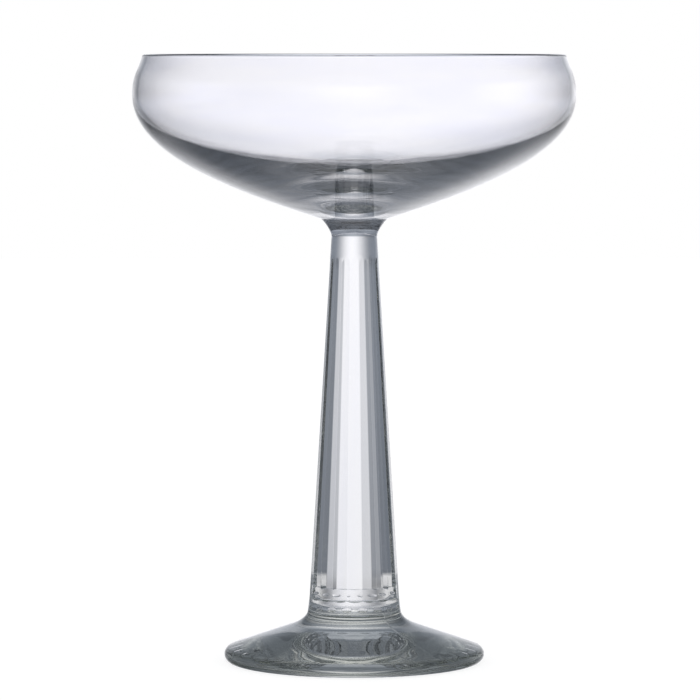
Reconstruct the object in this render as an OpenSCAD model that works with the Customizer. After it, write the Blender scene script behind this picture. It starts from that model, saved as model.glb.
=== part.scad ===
// Coupe glass with a tall panelled stem.
// Three pieces of clear glass, fused face to face: foot, stem and bowl.
// Origin: middle of the resting face. +Z is up, through the middle of the rim.

/* [Overall] */
// Height of the glass, from the table to the rim
glass_h = 150; // [130:1:190]
// Height of the bowl, from its weld to the rim
bowl_h = 40.4; // [32:0.2:50]
// Height of the foot, from the table to its weld
foot_h = 12.4; // [11:0.2:18]

/* [Bowl] */
// Widest outer diameter of the bowl
belly_d = 109.1; // [92:0.1:124]
// Outer diameter at the rim
rim_d = 104.3; // [86:0.1:109]
// Height of the widest line, below the rim
belly_drop = 9.9; // [6:0.1:14]
// Wall at the rim, which is also the width of its round lip
rim_wall = 1.3; // [1:0.05:2]
// Wall at the widest line
belly_wall = 1.4; // [1:0.05:2.4]
// Glass in the middle of the bowl's floor
floor_t = 6.2; // [3:0.1:9]
// Diameter of the weld between bowl and stem
bowl_weld_d = 16.3; // [13:0.1:20]
// Rise of the bowl's underside where it leaves the weld, in degrees
underside_rise = 17.7; // [8:0.1:26]
// Inward lean of the wall at the rim, in degrees
rim_lean = 14.5; // [4:0.1:24]

/* [Stem] */
// Height of the flared neck under the bowl
neck_h = 4.3; // [3:0.1:7]
// Diameter of the stem just under the neck
stem_top_d = 11.25; // [9:0.05:13]
// Height of the plain band between the neck and the panels
band_h = 4.9; // [2:0.1:10]
// Diameter of the stem at the foot end of the panels
stem_base_d = 22.2; // [18:0.1:25]
// Height of the plain collar between the panels and the foot's weld
collar_h = 3.8; // [3:0.1:6]
// Diameter of the weld between stem and foot
foot_weld_d = 23.1; // [22.8:0.1:26]

/* [Panels] */
// Number of flat panels round the stem
panel_n = 18; // [12:1:24]
// Depth of a panel at its edges
panel_sink = 0.04; // [0.02:0.01:0.1]
// Radius that brings a panel out to the plain band
panel_top_r = 48; // [20:1:80]
// Height of the slope that brings a panel out to the collar
panel_base_run = 1; // [0.4:0.1:1.6]
// Turn of the panels about the axis, in degrees
panel_turn = 0.5; // [0:0.5:20]

/* [Collar ovals] */
// Width of each oval print, along the collar
oval_w = 2.6; // [1.6:0.1:3]
// Height of each oval print
oval_h = 1.0; // [0.6:0.1:1.4]
// Height of the ovals' middles above the foot's weld
oval_rise = 1.5; // [1:0.1:1.8]

/* [Foot] */
// Diameter of the foot
foot_d = 64.4; // [56:0.1:74]
// Radius of the foot's rounded edge
foot_edge_r = 1.9; // [1.2:0.1:2.4]
// Angle below the level at which that edge runs into the underside, in degrees
foot_edge_turn = 60; // [45:1:70]
// Fall of the foot's top towards its edge, in degrees
foot_fall = 21; // [16:0.5:25]
// Diameter at which the fillet under the stem runs into the foot's top
fillet_d = 30.6; // [28:0.1:34]
// Height of that line above the table
fillet_h = 9.2; // [8.4:0.1:11]
// Width of the slope between that edge and the ring that the glass rests on
rest_slope_w = 1.25; // [0.5:0.05:3]
// Width of that ring
rest_ring_w = 2; // [1:0.1:5]
// Height of the hollow in the middle of the foot's underside
kick_h = 2.2; // [0.5:0.1:3]

/* [Hidden] */
// Overrun of every cut beyond the glass that it cuts, and the small one at a panel's top
over = 2;
top_over = 0.2;
// Circles are drawn with this many sides
$fn = 180;
// Steps along each long curve, each short curve and each round lip
long_n = 28;
short_n = 10;
lip_n = 8;

// Share of the collar's height at which the rod starts inside it
rod_share = 0.25;
// Lengths of the curves' handles, as shares of the spans that they cross
under_shares = [0.531, 0.4635];
side_shares = [0.49, 0.33];
floor_shares = [0.19, 0.7];
neck_shares = [0.28, 0.36];
fillet_shares = [0.15, 0.6, 0.18];
top_shares = [0.22, 0.33];
kick_shares = [0.7, 0.5];

// Heights of the welds, from the table
bowl_weld_z = glass_h - bowl_h;
foot_weld_z = foot_h;

// Bowl
belly_z = glass_h - belly_drop;
belly_r = belly_d / 2;
rim_r = rim_d / 2;
bowl_weld_r = bowl_weld_d / 2;
floor_z = bowl_weld_z + floor_t;
// The lip is a half circle, so the two sides of the wall end at its middle
lip_r = rim_wall / 2;
lip_z = glass_h - lip_r;
inner_belly_r = belly_r - belly_wall;

// Stem
band_top_z = bowl_weld_z - neck_h;
panel_top_z = band_top_z - band_h;
panel_base_z = foot_weld_z + collar_h;
stem_taper = (stem_base_d - stem_top_d) / 2 / (band_top_z - panel_base_z);
panel_step = 360 / panel_n;

// Foot
foot_r = foot_d / 2;
edge_z = foot_edge_r;
rest_r = foot_r - foot_edge_r * (1 - cos(foot_edge_turn)) - rest_slope_w;
kick_r = rest_r - rest_ring_w;

// Point at share t of the cubic curve with ends a and d and handles b and c
function curve_point(a, b, c, d, t) =
    pow(1 - t, 3) * a + 3 * pow(1 - t, 2) * t * b + 3 * (1 - t) * t * t * c + pow(t, 3) * d;

// The curve in n steps, without its last point
function curve(a, b, c, d, n) = [for (i = [0:n - 1]) curve_point(a, b, c, d, i / n)];

// Arc in n steps about a middle, from one angle to another, with both ends
function arc(middle, r, from, to, n) =
    [for (i = [0:n]) let (a = from + (to - from) * i / n) middle + r * [cos(a), sin(a)]];

// Radius of the stem's cone at a height
function stem_r(z) = stem_top_d / 2 + (band_top_z - z) * stem_taper;

// Outline of the bowl's outer side, from the weld up to the lip
function bowl_outside() =
    let (
        weld = [bowl_weld_r, bowl_weld_z],
        belly = [belly_r, belly_z],
        rim = [rim_r - lip_r, lip_z] + lip_r * [cos(rim_lean), sin(rim_lean)],
        span = [belly_r - bowl_weld_r, belly_z - bowl_weld_z],
        rise = under_shares[0] * span[0] * [cos(underside_rise), sin(underside_rise)],
        lean = side_shares[1] * belly_drop * [sin(rim_lean), -cos(rim_lean)]
    )
    concat(
        curve(weld, weld + rise, belly - [0, under_shares[1] * span[1]], belly, long_n),
        curve(belly, belly + [0, side_shares[0] * belly_drop], rim + lean, rim, short_n)
    );

// Outline of the bowl's inner side, from the lip down to the middle of the floor
function bowl_inside() =
    let (
        rim = [rim_r - lip_r, lip_z] - lip_r * [cos(rim_lean), sin(rim_lean)],
        belly = [inner_belly_r, belly_z],
        middle = [0, floor_z],
        depth = belly_z - floor_z,
        lean = side_shares[1] * belly_drop * [sin(rim_lean), -cos(rim_lean)]
    )
    concat(
        curve(rim, rim + lean, belly + [0, side_shares[0] * belly_drop], belly, short_n),
        curve(belly, belly - [0, floor_shares[1] * depth],
            middle + [floor_shares[0] * inner_belly_r, 0], middle, long_n),
        [middle]
    );

module bowl() {
    color([0.93, 0.95, 0.98, 0.5])
    rotate_extrude()
    polygon(concat(
        [[0, bowl_weld_z]],
        bowl_outside(),
        arc([rim_r - lip_r, lip_z], lip_r, rim_lean, 180 + rim_lean, lip_n),
        bowl_inside()
    ));
}

// Depth of a panel below the stem's cone, along its middle
function panel_depth(z) = stem_r(z) * (1 - cos(panel_step / 2)) + panel_sink;

// The collar, with a slope at its top that runs in under the panels
module collar() {
    slope_z = panel_base_z - panel_base_run;
    slope_share = panel_depth(panel_base_z) / panel_base_run;
    rotate_extrude()
    polygon([
        [0, foot_weld_z],
        [foot_weld_d / 2, foot_weld_z],
        [stem_r(slope_z), slope_z],
        [stem_r(slope_z) - over * slope_share, slope_z + over],
        [0, slope_z + over]
    ]);
}

// The rod before its panels are cut: cone, plain band and flared neck
module rod() {
    base_z = foot_weld_z + collar_h * rod_share;
    band = [stem_top_d / 2, band_top_z];
    weld = [bowl_weld_r, bowl_weld_z];
    flare = (bowl_weld_r - band[0]) * neck_shares[1] * [1, 1];
    rotate_extrude()
    polygon(concat(
        [[0, base_z], [stem_r(base_z), base_z]],
        curve(band, band + [0, neck_shares[0] * neck_h], weld - flare, weld, short_n),
        [weld, [0, bowl_weld_z]]
    ));
}

// What one panel takes off the rod: a flat that starts inside the collar and runs out at its top.
// The outline is drawn along the panel, with x as the distance outside its flat.
module panel_cut() {
    base = [stem_r(panel_base_z) - panel_depth(panel_base_z), panel_base_z];
    top = [stem_r(panel_top_z) - panel_depth(panel_top_z), panel_top_z];
    tilt = atan2(base[0] - top[0], top[1] - base[1]);
    // The run out ends where the band begins, and its arc is drawn until it is clear of the glass
    run = sqrt(2 * panel_top_r * panel_depth(panel_top_z));
    length = norm(top - base) - run;
    top_turn = acos(1 - (panel_depth(panel_top_z) + top_over) / panel_top_r);
    width = 2 * stem_r(panel_base_z) * tan(panel_step / 2) + over;
    rotate([0, 0, panel_turn + panel_step / 2])
    translate([base[0], 0, base[1]])
    rotate([90, -tilt, 0])
    linear_extrude(height = width, center = true)
    polygon(concat(
        [[over, -collar_h], [0, -collar_h]],
        arc([panel_top_r, length], panel_top_r, 180, 180 - top_turn, short_n),
        [[over, length + run + top_over]]
    ));
}

// One oval print in the collar, cut by a drum that lies along the collar
module oval_cut() {
    collar_r = (foot_weld_d / 2 * (collar_h - oval_rise) + stem_r(panel_base_z) * oval_rise)
        / collar_h;
    // The depth that gives the oval its width, and the drum that gives its height
    depth = collar_r - sqrt(pow(collar_r, 2) - pow(oval_w / 2, 2));
    drum_r = (pow(oval_h / 2, 2) + pow(depth, 2)) / 2 / depth;
    translate([collar_r - depth + drum_r, 0, foot_weld_z + oval_rise])
    rotate([90, 0, 0])
    cylinder(h = oval_w + over, r = drum_r, center = true);
}

module stem() {
    color([0.88, 0.9, 0.93, 0.6])
    difference() {
        union() {
            difference() {
                rod();
                for (i = [0:panel_n - 1])
                    rotate([0, 0, i * panel_step])
                    panel_cut();
            }
            collar();
        }
        for (i = [0:panel_n - 1])
            rotate([0, 0, i * panel_step + panel_turn])
            oval_cut();
    }
}

// Outline of the foot's top, from the weld out to the rounded edge
function foot_top() =
    let (
        weld = [foot_weld_d / 2, foot_weld_z],
        knee = [fillet_d / 2, fillet_h],
        edge = [foot_r - foot_edge_r, edge_z] + foot_edge_r * [sin(foot_fall), cos(foot_fall)],
        drop = weld[1] - knee[1],
        fall = [cos(foot_fall), -sin(foot_fall)],
        reach = edge[0] - knee[0]
    )
    concat(
        curve(weld, weld + drop * [fillet_shares[0], -fillet_shares[1]],
            knee - fillet_shares[2] * (knee[0] - weld[0]) * fall, knee, short_n),
        curve(knee, knee + top_shares[0] * reach * fall,
            edge - top_shares[1] * reach * fall, edge, short_n)
    );

// Outline of the hollow under the foot, from the resting ring to the middle
function foot_hollow() =
    let (ring = [kick_r, 0], middle = [0, kick_h])
    concat(
        curve(ring, ring + [-kick_shares[0] * kick_r, kick_h],
            middle + [kick_shares[1] * kick_r, 0], middle, short_n),
        [middle]
    );

module foot() {
    color([0.82, 0.85, 0.88, 0.6])
    rotate_extrude()
    polygon(concat(
        [[0, foot_weld_z]],
        foot_top(),
        arc([foot_r - foot_edge_r, edge_z], foot_edge_r, 90 - foot_fall, -foot_edge_turn,
            lip_n),
        [[rest_r, 0]],
        foot_hollow()
    ));
}

bowl();
stem();
foot();
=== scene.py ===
import math

import bpy
import numpy as np
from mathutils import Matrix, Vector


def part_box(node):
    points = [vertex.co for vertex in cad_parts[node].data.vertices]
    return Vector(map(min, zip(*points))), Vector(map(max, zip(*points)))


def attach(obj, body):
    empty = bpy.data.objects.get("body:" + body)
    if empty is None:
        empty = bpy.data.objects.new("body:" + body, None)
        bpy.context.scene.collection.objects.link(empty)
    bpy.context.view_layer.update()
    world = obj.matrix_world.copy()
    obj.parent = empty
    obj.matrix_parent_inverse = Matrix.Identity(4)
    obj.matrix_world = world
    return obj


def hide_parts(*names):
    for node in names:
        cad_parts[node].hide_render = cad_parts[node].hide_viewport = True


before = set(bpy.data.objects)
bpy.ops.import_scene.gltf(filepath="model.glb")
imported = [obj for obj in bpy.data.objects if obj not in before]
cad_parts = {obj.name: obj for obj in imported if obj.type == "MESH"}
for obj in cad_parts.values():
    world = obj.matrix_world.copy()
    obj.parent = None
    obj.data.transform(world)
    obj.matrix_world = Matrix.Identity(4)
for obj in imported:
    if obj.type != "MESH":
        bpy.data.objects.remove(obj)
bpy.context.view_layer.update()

MM = 0.001

# Sizes from the frame, in metres
bowl_low, bowl_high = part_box("bowl")
stem_low, stem_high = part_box("stem")
foot_low, foot_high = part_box("foot")
RIM_Z = bowl_high.z
BELLY_R = (bowl_high.y - bowl_low.y) / 2
BOWL_WELD_Z = stem_high.z
FOOT_WELD_Z = stem_low.z
FOOT_WELD_R = (stem_high.y - stem_low.y) / 2
FOOT_R = (foot_high.y - foot_low.y) / 2

# Bowl
RIM_R = 52.15 * MM
BELLY_DROP = 9.9 * MM
RIM_WALL = 1.3 * MM
BELLY_WALL = 1.4 * MM
FLOOR_T = 6.2 * MM
BOWL_WELD_R = 8.15 * MM
UNDERSIDE_RISE = math.radians(17.7)
RIM_LEAN = math.radians(14.5)

# Stem
NECK_H = 4.3 * MM
STEM_TOP_R = 5.625 * MM
BAND_H = 4.9 * MM
STEM_BASE_R = 11.1 * MM
COLLAR_H = 3.8 * MM
PANELS = 18
PANEL_SINK = 0.04 * MM
PANEL_TOP_R = 48 * MM
PANEL_BASE_RUN = 0.4 * MM
PANEL_TURN = math.radians(10.5)
PANEL_ROUND = 0.01 * MM
OVAL_W = 2.6 * MM
OVAL_H = 1.0 * MM
OVAL_RISE = 1.5 * MM
OVAL_DEPTH = 0.2 * MM
# Hair's breadth at each weld, so that light leaves one piece before it enters the next
WELD_GAP = 0.01 * MM

# Foot
FOOT_EDGE_R = 1.9 * MM
FOOT_FALL = math.radians(21)
EDGE_END = -math.pi / 3
FILLET_R = 15.3 * MM
FILLET_Z = 9.2 * MM
REST_R = 30 * MM
REST_W = 2 * MM
KICK_H = 2.2 * MM
# Fine notches across the ring that the glass rests on
NOTCHES = 36
NOTCH_STEPS = 4
NOTCH_DEPTH = 0.2 * MM

# Seams that the two halves of the mould leave down the stem and over the foot
SEAM_TURN = math.radians(40)
SEAM_W = 0.14 * MM
SEAM_H = 0.05 * MM
# The foot's seams run from its edge to just below its weld
SEAM_LOW_Z = 2 * FOOT_EDGE_R
SEAM_HIGH_Z = FOOT_WELD_Z - 0.2 * MM

# Lengths of the curves' handles, as shares of the spans that they cross
UNDER_SHARES = (0.531, 0.4635)
SIDE_SHARES = (0.49, 0.33)
FLOOR_SHARES = (0.19, 0.7)
NECK_SHARES = (0.28, 0.36)
FILLET_SHARES = (0.15, 0.6, 0.18)
TOP_SHARES = (0.22, 0.33)
KICK_SHARES = (0.7, 0.5)

# Worked out from the sizes above
BELLY_Z = RIM_Z - BELLY_DROP
FLOOR_Z = BOWL_WELD_Z + FLOOR_T
BAND_TOP_Z = BOWL_WELD_Z - NECK_H
PANEL_TOP_Z = BAND_TOP_Z - BAND_H
PANEL_BASE_Z = FOOT_WELD_Z + COLLAR_H
SLOPE_Z = PANEL_BASE_Z - PANEL_BASE_RUN
STEM_TAPER = (STEM_BASE_R - STEM_TOP_R) / (BAND_TOP_Z - PANEL_BASE_Z)
PANEL_STEP = 2 * math.pi / PANELS
# The panels' round tops need finer rings over this height
ARCH_Z = PANEL_TOP_Z - 5 * MM

# Steps round the bowl, and round the stem and the foot
TURN_STEPS = 18 * 20
FINE_STEPS = 18 * 40

# Steps along the outlines of the bowl, the stem's neck and the foot
SHELL_STEPS = 90
SIDE_STEPS = 24
LIP_STEPS = 16
NECK_STEPS = 30
FILLET_STEPS = 24
TOP_STEPS = 40
EDGE_STEPS = 24
KICK_STEPS = 40

# Parts of the stem below its neck, as (lowest height, highest height, rings)
STEM_PARTS = [
    (FOOT_WELD_Z + WELD_GAP, SLOPE_Z, 32),
    (SLOPE_Z, PANEL_BASE_Z, 6),
    (PANEL_BASE_Z, ARCH_Z, 14),
    (ARCH_Z, PANEL_TOP_Z, 36),
    (PANEL_TOP_Z, BAND_TOP_Z, 8),
]


# Curves of an outline, as lists of (radius, height)

def curve(a, b, c, d, n):
    """Cubic curve with ends a and d and handles b and c, without its last point."""
    t = np.linspace(0, 1, n, endpoint=False)[:, None]
    a, b, c, d = (np.array(p, float) for p in (a, b, c, d))
    return (1 - t) ** 3 * a + 3 * (1 - t) ** 2 * t * b + 3 * (1 - t) * t * t * c + t**3 * d


def arc(middle, r, start, end, n):
    """Arc between two angles, with both ends."""
    a = np.linspace(start, end, n + 1)[:, None]
    return np.array(middle) + r * np.hstack([np.cos(a), np.sin(a)])


def bowl_outline():
    """Outline of the bowl, from its weld up the outside, over the lip and down to its floor."""
    weld = np.array([BOWL_WELD_R, BOWL_WELD_Z])
    belly = np.array([BELLY_R, BELLY_Z])
    lip_r = RIM_WALL / 2
    lip = np.array([RIM_R - lip_r, RIM_Z - lip_r])
    lean = np.array([math.cos(RIM_LEAN), math.sin(RIM_LEAN)])
    down = SIDE_SHARES[1] * BELLY_DROP * np.array([math.sin(RIM_LEAN), -math.cos(RIM_LEAN)])
    up = np.array([0, SIDE_SHARES[0] * BELLY_DROP])
    span = belly - weld
    direction = np.array([math.cos(UNDERSIDE_RISE), math.sin(UNDERSIDE_RISE)])
    rise = UNDER_SHARES[0] * span[0] * direction
    inner = belly - [BELLY_WALL, 0]
    inner_down = inner - [0, FLOOR_SHARES[1] * (BELLY_Z - FLOOR_Z)]
    floor = np.array([0, FLOOR_Z])
    floor_out = floor + [FLOOR_SHARES[0] * inner[0], 0]
    outside = lip + lip_r * lean
    inside = lip - lip_r * lean
    return np.vstack([
        curve(weld, weld + rise, belly - [0, UNDER_SHARES[1] * span[1]], belly, SHELL_STEPS),
        curve(belly, belly + up, outside + down, outside, SIDE_STEPS),
        arc(lip, lip_r, RIM_LEAN, RIM_LEAN + math.pi, LIP_STEPS),
        curve(inside, inside + down, inner + up, inner, SIDE_STEPS)[1:],
        curve(inner, inner_down, floor_out, floor, SHELL_STEPS),
        [floor],
    ])


def foot_outline():
    """Outline of the foot, from its weld over the edge to the middle of the hollow below."""
    weld = np.array([FOOT_WELD_R, FOOT_WELD_Z])
    knee = np.array([FILLET_R, FILLET_Z])
    edge_middle = np.array([FOOT_R - FOOT_EDGE_R, FOOT_EDGE_R])
    edge = edge_middle + FOOT_EDGE_R * np.array([math.sin(FOOT_FALL), math.cos(FOOT_FALL)])
    fall = np.array([math.cos(FOOT_FALL), -math.sin(FOOT_FALL)])
    drop = weld[1] - knee[1]
    reach = edge[0] - knee[0]
    ring = np.array([REST_R - REST_W, 0])
    middle = np.array([0, KICK_H])
    weld_down = weld + [FILLET_SHARES[0] * drop, -FILLET_SHARES[1] * drop]
    knee_back = knee - FILLET_SHARES[2] * (knee[0] - weld[0]) * fall
    knee_on = knee + TOP_SHARES[0] * reach * fall
    edge_back = edge - TOP_SHARES[1] * reach * fall
    ring_up = ring + [-KICK_SHARES[0] * ring[0], KICK_H]
    middle_out = middle + [KICK_SHARES[1] * ring[0], 0]
    return np.vstack([
        curve(weld, weld_down, knee_back, knee, FILLET_STEPS),
        curve(knee, knee_on, edge_back, edge, TOP_STEPS),
        arc(edge_middle, FOOT_EDGE_R, math.pi / 2 - FOOT_FALL, EDGE_END, EDGE_STEPS),
        [[REST_R, 0]],
        curve(ring, ring_up, middle_out, middle, KICK_STEPS),
        [middle],
    ])


# Rings of a piece, as lists of (radii, heights) at each angle

def stem_r(z):
    """Radius of the cone that the panels are cut into."""
    return STEM_TOP_R + (BAND_TOP_Z - z) * STEM_TAPER


def panel_depth(z):
    """Depth of a panel's middle below the cone, at a height."""
    full = stem_r(z) * (1 - math.cos(PANEL_STEP / 2)) + PANEL_SINK
    top_full = stem_r(PANEL_TOP_Z) * (1 - math.cos(PANEL_STEP / 2)) + PANEL_SINK
    run = math.sqrt(2 * PANEL_TOP_R * top_full)
    below_top = PANEL_TOP_Z - z
    if below_top < 0 or z < SLOPE_Z:
        return 0
    if below_top < run:
        return full - (run - below_top) ** 2 / (2 * PANEL_TOP_R)
    if z < PANEL_BASE_Z:
        return full * (z - PANEL_BASE_Z + PANEL_BASE_RUN) / PANEL_BASE_RUN
    return full


def seam_height(angles, radius):
    """How far the two seams stand out, at each angle of a ring."""
    off = (angles - SEAM_TURN + math.pi / 2) % math.pi - math.pi / 2
    return SEAM_H * np.exp(-((off * radius / SEAM_W) ** 2))


def plain_rings(outline, n):
    """Rings of a piece that is round all over, from an outline without points on the axis."""
    ones = np.ones(n)
    return [(r * ones, z * ones) for r, z in outline]


def stem_rings(angles):
    """Rings of the stem, from the foot's weld up to the bowl's."""
    n = len(angles)
    neck = curve(
        [STEM_TOP_R, BAND_TOP_Z],
        [STEM_TOP_R, BAND_TOP_Z + NECK_SHARES[0] * NECK_H],
        np.array([BOWL_WELD_R, BOWL_WELD_Z]) - NECK_SHARES[1] * (BOWL_WELD_R - STEM_TOP_R),
        [BOWL_WELD_R, BOWL_WELD_Z - WELD_GAP],
        NECK_STEPS,
    )
    heights = np.concatenate([np.linspace(a, b, k, endpoint=False) for a, b, k in STEM_PARTS])
    # Angle from the middle of the nearest panel, and from the nearest edge between two panels
    off = (angles - PANEL_TURN) % PANEL_STEP - PANEL_STEP / 2
    edge_off = (angles - PANEL_TURN + PANEL_STEP / 2) % PANEL_STEP - PANEL_STEP / 2
    rings = []
    for z in heights:
        cone = stem_r(z)
        if z < SLOPE_Z:
            share = (SLOPE_Z - z) / (SLOPE_Z - FOOT_WELD_Z)
            cone = stem_r(SLOPE_Z) + share * (FOOT_WELD_R - stem_r(SLOPE_Z))
        depth = panel_depth(z)
        r = np.full(n, cone)
        if depth > 0:
            # Smooth minimum of the cone and the two nearest panels, so that the edges are round
            flat = (cone - depth) / np.cos(off)
            other = (cone - depth) / np.cos(PANEL_STEP - np.abs(off))
            low = np.minimum(np.minimum(flat, other), cone)
            total = sum(np.exp(-(q - low) / PANEL_ROUND) for q in (flat, other, r))
            r = low - PANEL_ROUND * np.log(total)
        if z < SLOPE_Z:
            across = cone * np.sin(edge_off) / (OVAL_W / 2)
            along = (z - FOOT_WELD_Z - OVAL_RISE) / (OVAL_H / 2)
            inside = np.clip(1 - across**2 - along**2, 0, 1)
            r = r - OVAL_DEPTH * inside * inside * (3 - 2 * inside)
        rings.append((r + seam_height(angles, cone), np.full(n, z)))
    return rings + plain_rings([*neck, (BOWL_WELD_R, BOWL_WELD_Z - WELD_GAP)], n)


def foot_rings(outline, angles):
    """Rings of the foot with its notches and seams, from the hollow below up to its weld."""
    n = len(angles)
    notched = np.arange(n) % (n // NOTCHES) < NOTCH_STEPS
    rings = plain_rings(outline, n)
    for r, z in rings:
        z[notched & (z == 0)] = NOTCH_DEPTH
        if SEAM_LOW_Z < z[0] < SEAM_HIGH_Z:
            seam = seam_height(angles, r)
            r += seam
            z += seam
    return rings


# Meshes

def turned_piece(name, rings, caps):
    """Closed mesh from rings. A cap is (row of its ring, height of its middle, is it a weld)."""
    n = len(rings[0][0])
    angles = np.arange(n) * 2 * math.pi / n
    points = []
    faces = []
    for r, z in rings:
        points += [
            (a * math.sin(t), -a * math.cos(t), h)
            for a, h, t in zip(r.tolist(), z.tolist(), angles.tolist())
        ]
    for i in range(len(rings) - 1):
        for j in range(n):
            k = (j + 1) % n
            faces.append((i * n + j, i * n + k, (i + 1) * n + k, (i + 1) * n + j))
    weld_marks = [0.0] * len(faces)
    for row, height, is_weld in caps:
        middle = len(points)
        points.append((0, 0, height))
        for j in range(n):
            a = row * n + j
            b = row * n + (j + 1) % n
            faces.append((b, a, middle) if row == 0 else (a, b, middle))
            weld_marks.append(float(is_weld))
    mesh = bpy.data.meshes.new(name)
    mesh.from_pydata(points, [], faces)
    for p in mesh.polygons:
        p.use_smooth = True
    weld = mesh.attributes.new("weld", "FLOAT", "FACE")
    weld.data.foreach_set("value", weld_marks)
    # The welds' edges are sharp
    rows = [row for row, height, is_weld in caps if is_weld]
    sharp = {(row * n + j, row * n + (j + 1) % n) for row in rows for j in range(n)}
    sharp |= {(b, a) for a, b in sharp}
    for e in mesh.edges:
        if tuple(e.vertices) in sharp:
            e.use_edge_sharp = True
    mesh.validate()
    mesh.update()
    piece = bpy.data.objects.new(name, mesh)
    bpy.context.scene.collection.objects.link(piece)
    return piece


outline = bowl_outline()
bowl = turned_piece(
    "bowl_glass",
    plain_rings(outline[:-1], TURN_STEPS),
    [(0, BOWL_WELD_Z, True), (len(outline) - 2, FLOOR_Z, False)],
)
fine_angles = np.arange(FINE_STEPS) * 2 * math.pi / FINE_STEPS
rings = stem_rings(fine_angles)
stem = turned_piece(
    "stem_glass",
    rings,
    [(0, FOOT_WELD_Z + WELD_GAP, True), (len(rings) - 1, BOWL_WELD_Z - WELD_GAP, True)],
)
outline = foot_outline()[::-1]
foot = turned_piece(
    "foot_glass",
    foot_rings(outline[1:], fine_angles),
    [(0, KICK_H, False), (len(outline) - 2, FOOT_WELD_Z, True)],
)

for piece, node in ((bowl, "bowl"), (stem, "stem"), (foot, "foot")):
    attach(piece, "root")
    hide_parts(node)


# Materials

class Nodes:
    """Short calls that add and link nodes."""

    def __init__(self, tree):
        self.nodes, self.links = tree.nodes, tree.links

    def add(self, kind, *inputs, **settings):
        node = self.nodes.new("ShaderNode" + kind)
        for name, value in settings.items():
            setattr(node, name, value)
        for socket, value in zip(node.inputs, inputs):
            self.put(socket, value)
        return node.outputs[0]

    def put(self, socket, value):
        if value is None:
            return
        if isinstance(value, bpy.types.NodeSocket):
            self.links.new(value, socket)
        else:
            socket.default_value = value

    def maths(self, operation, *inputs):
        return self.add("Math", *inputs, operation=operation)

    def fade(self, value, start, end, low, high):
        """From low at start to high at end, and level beyond them."""
        return self.add("MapRange", value, start, end, low, high)

    def ramp(self, value, stops):
        """Colour ramp whose stops are (place, colour)."""
        node = self.add("ValToRGB", value).node
        points = node.color_ramp.elements
        for place, colour in stops[2:]:
            points.new(place)
        for point, (place, colour) in zip(points, sorted(stops)):
            point.position = place
            point.color = (*colour, 1)
        return node.outputs[0]

    def mix(self, share, a, b):
        node = self.nodes.new("ShaderNodeMix")
        node.data_type = "RGBA"
        self.put(node.inputs[0], share)
        self.put(node.inputs[6], a)
        self.put(node.inputs[7], b)
        return node.outputs[2]

    def light_path(self):
        return self.add("LightPath").node.outputs

    def by_way_of_glass(self):
        """1 for light that the camera gets by way of the glass."""
        path = self.light_path()
        return self.maths("MAXIMUM", path["Is Glossy Ray"], path["Is Transmission Ray"])


# Faint waves that moulding and fire polishing leave in the surface: waves per metre across and up,
# depth, and the heights between which they fade out, which on the stem lie above it. Last, the
# body colour of the glass.
WAVES = {
    "bowl_glass": (34, 150, 0.15 * MM, 121 * MM, 129 * MM, (0.5, 0.5, 0.5, 1)),
    "stem_glass": (260, 12, 0.006 * MM, 200 * MM, 201 * MM, (0.5, 0.51, 0.49, 1)),
    "foot_glass": (60, 100, 0.14 * MM, 12 * MM, 14 * MM, (0.51, 0.53, 0.46, 1)),
}
WAVE_DETAIL = 2.0
FADED_SHARE = 0.08
BODY_DENSITY = 24.0
GLASS_IOR = 1.5
# Tint of the surface, which follows the waves
TINT_STOPS = [(0.35, (0.97, 0.968, 1)), (0.6, (0.995, 0.99, 1))]
SHADOW_COLOUR = (0.93, 0.94, 0.95, 1)
# The ring that the glass rests on gets a dark diffuse share: a painted contact shadow where it
# meets the floor
CONTACT_SHADOW_Z = 0.01 * MM
CONTACT_SHADOW_SHARE = 0.5
CONTACT_SHADOW_COLOUR = (0.16, 0.17, 0.18, 1)


def new_material(name):
    """Material with nodes, its tree, its shader and its output."""
    mat = bpy.data.materials.new(name)
    mat.use_nodes = True
    nodes = mat.node_tree.nodes
    return mat, Nodes(mat.node_tree), nodes["Principled BSDF"], nodes["Material Output"]


def clear_glass(name):
    """Clear glass with faint waves and tint. Its welds are bare openings into the next piece."""
    across, up, depth, whole_z, none_z, body = WAVES[name]
    mat, tree, shader, out = new_material(name)
    place = tree.add("TexCoord").node.outputs["Object"]
    stretched = tree.add("Mapping", place, None, None, (across, across, up))
    waves = tree.add("TexNoise", stretched, None, 1.0, WAVE_DETAIL)
    height = tree.add("SeparateXYZ", place).node.outputs[2]
    share = tree.fade(height, whole_z, none_z, 1.0, FADED_SHARE)
    tree.put(shader.inputs["Base Color"], tree.ramp(waves, TINT_STOPS))
    tree.put(shader.inputs["Normal"], tree.add("Bump", share, depth, None, waves))
    shader.inputs["Roughness"].default_value = 0
    shader.inputs["IOR"].default_value = GLASS_IOR
    shader.inputs["Transmission Weight"].default_value = 1
    shadow = tree.add("BsdfTransparent", SHADOW_COLOUR)
    glass = tree.add("MixShader", tree.light_path()["Is Shadow Ray"], shader.outputs[0], shadow)
    weld = tree.add("Attribute", attribute_name="weld").node.outputs["Fac"]
    glass = tree.add("MixShader", weld, glass, tree.add("BsdfTransparent"))
    # Painted contact shadow: a dark diffuse share on the faces that rest on the floor
    ring = tree.maths("MULTIPLY", tree.maths("LESS_THAN", height, CONTACT_SHADOW_Z), CONTACT_SHADOW_SHARE)
    contact_shadow = tree.add("BsdfDiffuse", CONTACT_SHADOW_COLOUR)
    tree.put(out.inputs["Surface"], tree.add("MixShader", ring, glass, contact_shadow))
    tree.put(out.inputs["Volume"], tree.add("VolumeAbsorption", body, BODY_DENSITY))
    return mat


for piece in (bowl, stem, foot):
    piece.data.materials.append(clear_glass(piece.name))


# Stage

WHITE = (1, 1, 1, 1)
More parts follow.
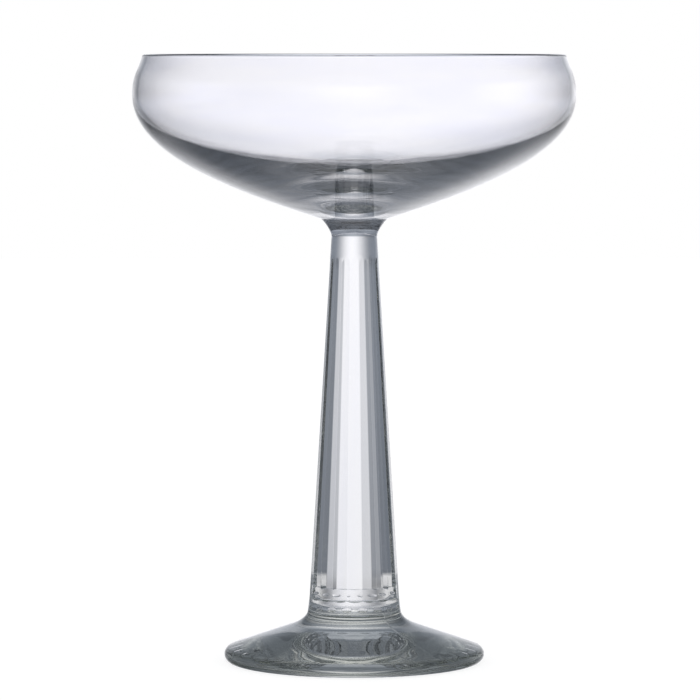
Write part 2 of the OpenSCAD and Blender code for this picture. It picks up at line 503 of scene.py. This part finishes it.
# Light from the world on everything but the camera and what the glass shows
WORLD_COLOUR = (0.9, 0.9, 0.9, 1)
FLOOR_HALF = 2.0
FLOOR_COLOUR = (0.3, 0.3, 0.3, 1)
FLOOR_GLOW = 0.75

# The studio that only the glass shows: white cards behind, beside and in front of it, with dim
# gaps between. Each list is (elevation in degrees, brightness).
GAP_LEVELS = [
    (-90, 1.2), (-66, 1.0), (-54, 0.54), (-42, 0.3), (-33, 0.1), (-20, 0.03), (-8, 0.23),
    (0, 0.06), (6, 0.16), (26, 0.17), (36, 0.34), (48, 0.53), (60, 0.57), (90, 0.27),
]
FAR_GAP_LEVELS = [
    (-90, 0.65), (-66, 0.42), (-54, 0.25), (-22, 0.25), (-16, 0.4), (18, 0.4), (26, 0.25),
    (60, 0.35), (90, 0.25),
]
CARD_LEVELS = [
    (-90, 1.2), (-66, 1.2), (-54, 0.86), (-42, 0.53), (-33, 0.73), (-24, 1.2), (-8, 1.2),
    (0, 1.13), (6, 0.84), (12, 0.72), (18, 0.47), (26, 0.28), (36, 0.22), (48, 0.54), (60, 0.7),
    (90, 0.37),
]
SIDE_CARD_LEVELS = [
    (-90, 0.85), (-66, 0.55), (-54, 0.32), (-17, 0.32), (-10, 0.8), (12, 0.8), (18, 0.32),
    (60, 0.32), (90, 0.37),
]
CARDS = 4.0
CARD_TURN = math.radians(4)
CARD_POWER = 1.5
FRONT_POWER = 2.0
# Blue of a white part, and what a dark part loses in red and gains in blue
WHITE_BLUE = 1.03
DARK_COOL = 0.14
DARK_BLUE = 1.3

# Light that never bounced back stays near white towards the sides and straight down, so that the
# other views are clear. Its share of white after it crossed two walls, and where it falls steeply.
WALLS_SHARE = 0.75
BELOW_SHARE = 0.9
# Ray counts that tell light that never bounced back, and light that crossed four surfaces
STRAIGHT_LIMIT = 1.5
WALLS_LIMIT = 3.5
# Angles in degrees: from straight ahead, where the clearing starts and is whole; below the level,
# where light falls steeply and straight down; and from straight ahead, where the steep part rises
ASIDE = (25, 40)
STEEP = (13, 15)
DOWN = 70
LIFT = (50, 65)
LIFT_RISE = 0.045


def level(shade):
    """Colour of a part of the studio that is this bright, bluish where it is dark."""
    cool = DARK_COOL * max(0, 1 - shade)
    return (shade * (1 - cool), shade, shade * (WHITE_BLUE + DARK_BLUE * cool))


def place_of(degrees):
    """Place on the up and down ramps of a direction at this elevation."""
    return (math.sin(math.radians(degrees)) + 1) / 2


def ahead_at(degrees):
    """How far ahead a direction points, at this angle from straight ahead."""
    return math.cos(math.radians(degrees))


def height_below(degrees):
    """Height of a direction that points this far below the level."""
    return -math.sin(math.radians(degrees))


def clearing(tree, ahead, up):
    """Share of white in what light that never bounced back shows of the studio."""
    path = tree.light_path()
    bounced = tree.maths("SUBTRACT", path["Ray Depth"], path["Transmission Depth"])
    straight = tree.maths("LESS_THAN", bounced, STRAIGHT_LIMIT)
    walls = tree.maths("GREATER_THAN", path["Transmission Depth"], WALLS_LIMIT)
    walls = tree.maths("MULTIPLY", walls, WALLS_SHARE)
    lift = tree.fade(ahead, ahead_at(LIFT[0]), ahead_at(LIFT[1]), 0.0, LIFT_RISE)
    fall = tree.maths("SUBTRACT", up, lift)
    below = tree.fade(fall, height_below(STEEP[0]), height_below(STEEP[1]), 0.0, 1.0)
    clear = tree.maths("MAXIMUM", walls, tree.maths("MULTIPLY", below, BELOW_SHARE))
    aside = tree.fade(ahead, ahead_at(ASIDE[0]), ahead_at(ASIDE[1]), 0.0, 1.0)
    under = tree.maths("LESS_THAN", up, height_below(DOWN))
    clear = tree.maths("MULTIPLY", clear, tree.maths("MAXIMUM", aside, under))
    return tree.maths("MULTIPLY", clear, straight)


def studio_world():
    """World that is white to the camera, and the studio to the glass."""
    world = bpy.data.worlds.new("studio")
    bpy.context.scene.world = world
    world.use_nodes = True
    tree = Nodes(world.node_tree)
    direction = tree.add("TexCoord").node.outputs["Generated"]
    split = tree.add("SeparateXYZ", direction).node.outputs
    turn = tree.maths("SUBTRACT", tree.maths("ARCTAN2", split[0], split[1]), CARD_TURN)
    ahead = tree.maths("COSINE", turn)
    half = tree.maths("MULTIPLY_ADD", ahead, 0.5, 0.5)
    front = tree.maths("POWER", tree.maths("MAXIMUM", ahead, 0.0), FRONT_POWER)
    card = tree.maths("COSINE", tree.maths("MULTIPLY", turn, CARDS))
    card = tree.maths("POWER", tree.maths("MULTIPLY_ADD", card, 0.5, 0.5), CARD_POWER)
    height = tree.maths("MULTIPLY_ADD", split[2], 0.5, 0.5)

    def levels(stops):
        return tree.ramp(height, [(place_of(e), level(v)) for e, v in stops])

    gaps = tree.mix(half, levels(FAR_GAP_LEVELS), levels(GAP_LEVELS))
    cards = tree.mix(front, levels(SIDE_CARD_LEVELS), levels(CARD_LEVELS))
    studio = tree.mix(card, gaps, cards)
    studio = tree.mix(clearing(tree, ahead, split[2]), studio, WHITE)
    colour = tree.mix(tree.light_path()["Is Camera Ray"], WORLD_COLOUR, WHITE)
    colour = tree.mix(tree.by_way_of_glass(), colour, studio)
    tree.put(world.node_tree.nodes["Background"].inputs["Color"], colour)


def floor():
    """White floor that takes the glass's shadow, and that the glass itself doesn't show."""
    mesh = bpy.data.meshes.new("floor")
    corners = [(-1, -1), (1, -1), (1, 1), (-1, 1)]
    mesh.from_pydata([(x * FLOOR_HALF, y * FLOOR_HALF, 0) for x, y in corners], [], [(0, 1, 2, 3)])
    piece = bpy.data.objects.new("floor", mesh)
    bpy.context.scene.collection.objects.link(piece)
    mat, tree, matt, out = new_material("floor_white")
    matt.inputs["Base Color"].default_value = FLOOR_COLOUR
    matt.inputs["Roughness"].default_value = 1
    matt.inputs["Emission Color"].default_value = WHITE
    matt.inputs["Emission Strength"].default_value = FLOOR_GLOW
    clear = tree.add("BsdfTransparent")
    shade = tree.add("MixShader", tree.by_way_of_glass(), matt.outputs[0], clear)
    tree.put(out.inputs["Surface"], shade)
    piece.data.materials.append(mat)


floor()
studio_world()

# Camera
CAMERA_PLACE = (-1.06 * MM, -1090 * MM, 154 * MM)
CAMERA_PITCH = 4.03
lens = bpy.data.cameras.new("camera")
lens.sensor_width = 36
lens.lens = 227.8
lens.clip_start = 0.05
lens.clip_end = 20
camera = bpy.data.objects.new("camera", lens)
camera.location = CAMERA_PLACE
camera.rotation_euler = (math.radians(90 - CAMERA_PITCH), 0, 0)
bpy.context.scene.collection.objects.link(camera)
bpy.context.scene.camera = camera

# Light turns many times in the thick glass
BOUNCES = 32
cycles = bpy.context.scene.cycles
cycles.max_bounces = BOUNCES
cycles.glossy_bounces = BOUNCES
cycles.transmission_bounces = BOUNCES
cycles.transparent_max_bounces = 2 * BOUNCES

bpy.context.scene.view_settings.view_transform = "Standard"
